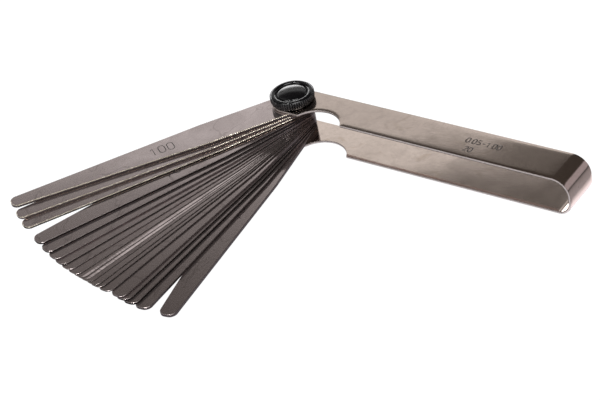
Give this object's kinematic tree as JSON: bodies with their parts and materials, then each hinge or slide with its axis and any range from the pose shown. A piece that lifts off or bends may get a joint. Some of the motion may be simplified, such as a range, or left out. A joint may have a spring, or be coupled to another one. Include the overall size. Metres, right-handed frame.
{
  "type": "feeler gauge",
  "caption": "Feeler gauge: graded steel blades fan out on a pivot bush from a bent sheet-steel holder with thumb notches, clamped by a black knurled knob.",
  "frame": {"origin": "on the pivot axis, in the plane of the holder's underside", "axes": "+X along the holder from the pivot to its bend, +Z along the pivot towards the knob, thumb notches on the -Y side"},
  "size_m": [0.1548, 0.101, 0.0157],
  "materials": {
    "holder_steel": "bright nickel plated sheet, smudged",
    "blade_steel": "ground and hardened, satin",
    "pivot_steel": "turned",
    "black_plastic": "glossy black, knurled"
  },
  "bodies": {
    "holder": {"holder": "holder_steel", "pivot_bush": "pivot_steel"},
    "washer": {"washer": "pivot_steel"},
    "knob": {"knob": "black_plastic", "clamp_screw": "pivot_steel"},
    "blade_100": {"blade_100": "blade_steel"},
    "blade_090": {"blade_090": "blade_steel"},
    "blade_080": {"blade_080": "blade_steel"},
    "blade_070": {"blade_070": "blade_steel"},
    "blade_060": {"blade_060": "blade_steel"},
    "blade_050": {"blade_050": "blade_steel"},
    "blade_040": {"blade_040": "blade_steel"},
    "blade_030": {"blade_030": "blade_steel"},
    "blade_020": {"blade_020": "blade_steel"},
    "blade_010": {"blade_010": "blade_steel"},
    "blade_005": {"blade_005": "blade_steel"},
    "blade_015": {"blade_015": "blade_steel"},
    "blade_025": {"blade_025": "blade_steel"},
    "blade_035": {"blade_035": "blade_steel"},
    "blade_045": {"blade_045": "blade_steel"},
    "blade_055": {"blade_055": "blade_steel"},
    "blade_065": {"blade_065": "blade_steel"},
    "blade_075": {"blade_075": "blade_steel"},
    "blade_085": {"blade_085": "blade_steel"},
    "blade_095": {"blade_095": "blade_steel"}
  },
  "joints": [
    {"name": "blade_100_turn", "type": "hinge", "parent": "holder", "child": "blade_100", "pos_m": [0, 0, 0.006], "axis": [0, 0, 1], "range_deg": [-236.2, 123.8]},
    {"name": "blade_090_turn", "type": "hinge", "parent": "holder", "child": "blade_090", "pos_m": [0, 0, 0.006], "axis": [0, 0, 1], "range_deg": [-239.7, 120.3]},
    {"name": "blade_080_turn", "type": "hinge", "parent": "holder", "child": "blade_080", "pos_m": [0, 0, 0.006], "axis": [0, 0, 1], "range_deg": [-242.7, 117.3]},
    {"name": "blade_070_turn", "type": "hinge", "parent": "holder", "child": "blade_070", "pos_m": [0, 0, 0.006], "axis": [0, 0, 1], "range_deg": [-248.2, 111.8]},
    {"name": "blade_060_turn", "type": "hinge", "parent": "holder", "child": "blade_060", "pos_m": [0, 0, 0.006], "axis": [0, 0, 1], "range_deg": [-251.2, 108.8]},
    {"name": "blade_050_turn", "type": "hinge", "parent": "holder", "child": "blade_050", "pos_m": [0, 0, 0.006], "axis": [0, 0, 1], "range_deg": [-253.7, 106.3]},
    {"name": "blade_040_turn", "type": "hinge", "parent": "holder", "child": "blade_040", "pos_m": [0, 0, 0.006], "axis": [0, 0, 1], "range_deg": [-255.7, 104.3]},
    {"name": "blade_030_turn", "type": "hinge", "parent": "holder", "child": "blade_030", "pos_m": [0, 0, 0.006], "axis": [0, 0, 1], "range_deg": [-257.7, 102.3]},
    {"name": "blade_020_turn", "type": "hinge", "parent": "holder", "child": "blade_020", "pos_m": [0, 0, 0.006], "axis": [0, 0, 1], "range_deg": [-259.7, 100.3]},
    {"name": "blade_010_turn", "type": "hinge", "parent": "holder", "child": "blade_010", "pos_m": [0, 0, 0.006], "axis": [0, 0, 1], "range_deg": [-261.2, 98.8]},
    {"name": "blade_005_turn", "type": "hinge", "parent": "holder", "child": "blade_005", "pos_m": [0, 0, 0.006], "axis": [0, 0, 1], "range_deg": [-262.2, 97.8]},
    {"name": "blade_015_turn", "type": "hinge", "parent": "holder", "child": "blade_015", "pos_m": [0, 0, 0.006], "axis": [0, 0, 1], "range_deg": [-263.2, 96.8]},
    {"name": "blade_025_turn", "type": "hinge", "parent": "holder", "child": "blade_025", "pos_m": [0, 0, 0.006], "axis": [0, 0, 1], "range_deg": [-264.7, 95.3]},
    {"name": "blade_035_turn", "type": "hinge", "parent": "holder", "child": "blade_035", "pos_m": [0, 0, 0.006], "axis": [0, 0, 1], "range_deg": [-265.7, 94.3]},
    {"name": "blade_045_turn", "type": "hinge", "parent": "holder", "child": "blade_045", "pos_m": [0, 0, 0.006], "axis": [0, 0, 1], "range_deg": [-267.7, 92.3]},
    {"name": "blade_055_turn", "type": "hinge", "parent": "holder", "child": "blade_055", "pos_m": [0, 0, 0.006], "axis": [0, 0, 1], "range_deg": [-270.7, 89.3]},
    {"name": "blade_065_turn", "type": "hinge", "parent": "holder", "child": "blade_065", "pos_m": [0, 0, 0.006], "axis": [0, 0, 1], "range_deg": [-271.7, 88.3]},
    {"name": "blade_075_turn", "type": "hinge", "parent": "holder", "child": "blade_075", "pos_m": [0, 0, 0.006], "axis": [0, 0, 1], "range_deg": [-273.2, 86.8]},
    {"name": "blade_085_turn", "type": "hinge", "parent": "holder", "child": "blade_085", "pos_m": [0, 0, 0.006], "axis": [0, 0, 1], "range_deg": [-275.7, 84.3]},
    {"name": "blade_095_turn", "type": "hinge", "parent": "holder", "child": "blade_095", "pos_m": [0, 0, 0.006], "axis": [0, 0, 1], "range_deg": [-280.7, 79.3]},
    {"name": "knob_rise", "type": "slide", "parent": "holder", "child": "washer", "axis": [0, 0, 1], "range_m": [0, 0.0021]},
    {"name": "knob_turn", "type": "hinge", "parent": "washer", "child": "knob", "pos_m": [0, 0, 0.014], "axis": [0, 0, 1], "range_deg": [0, 1085]}
  ],
  "couplings": [
    {"joint": "knob_turn", "follows": "knob_rise", "rad_per_m": 8976}
  ]
}
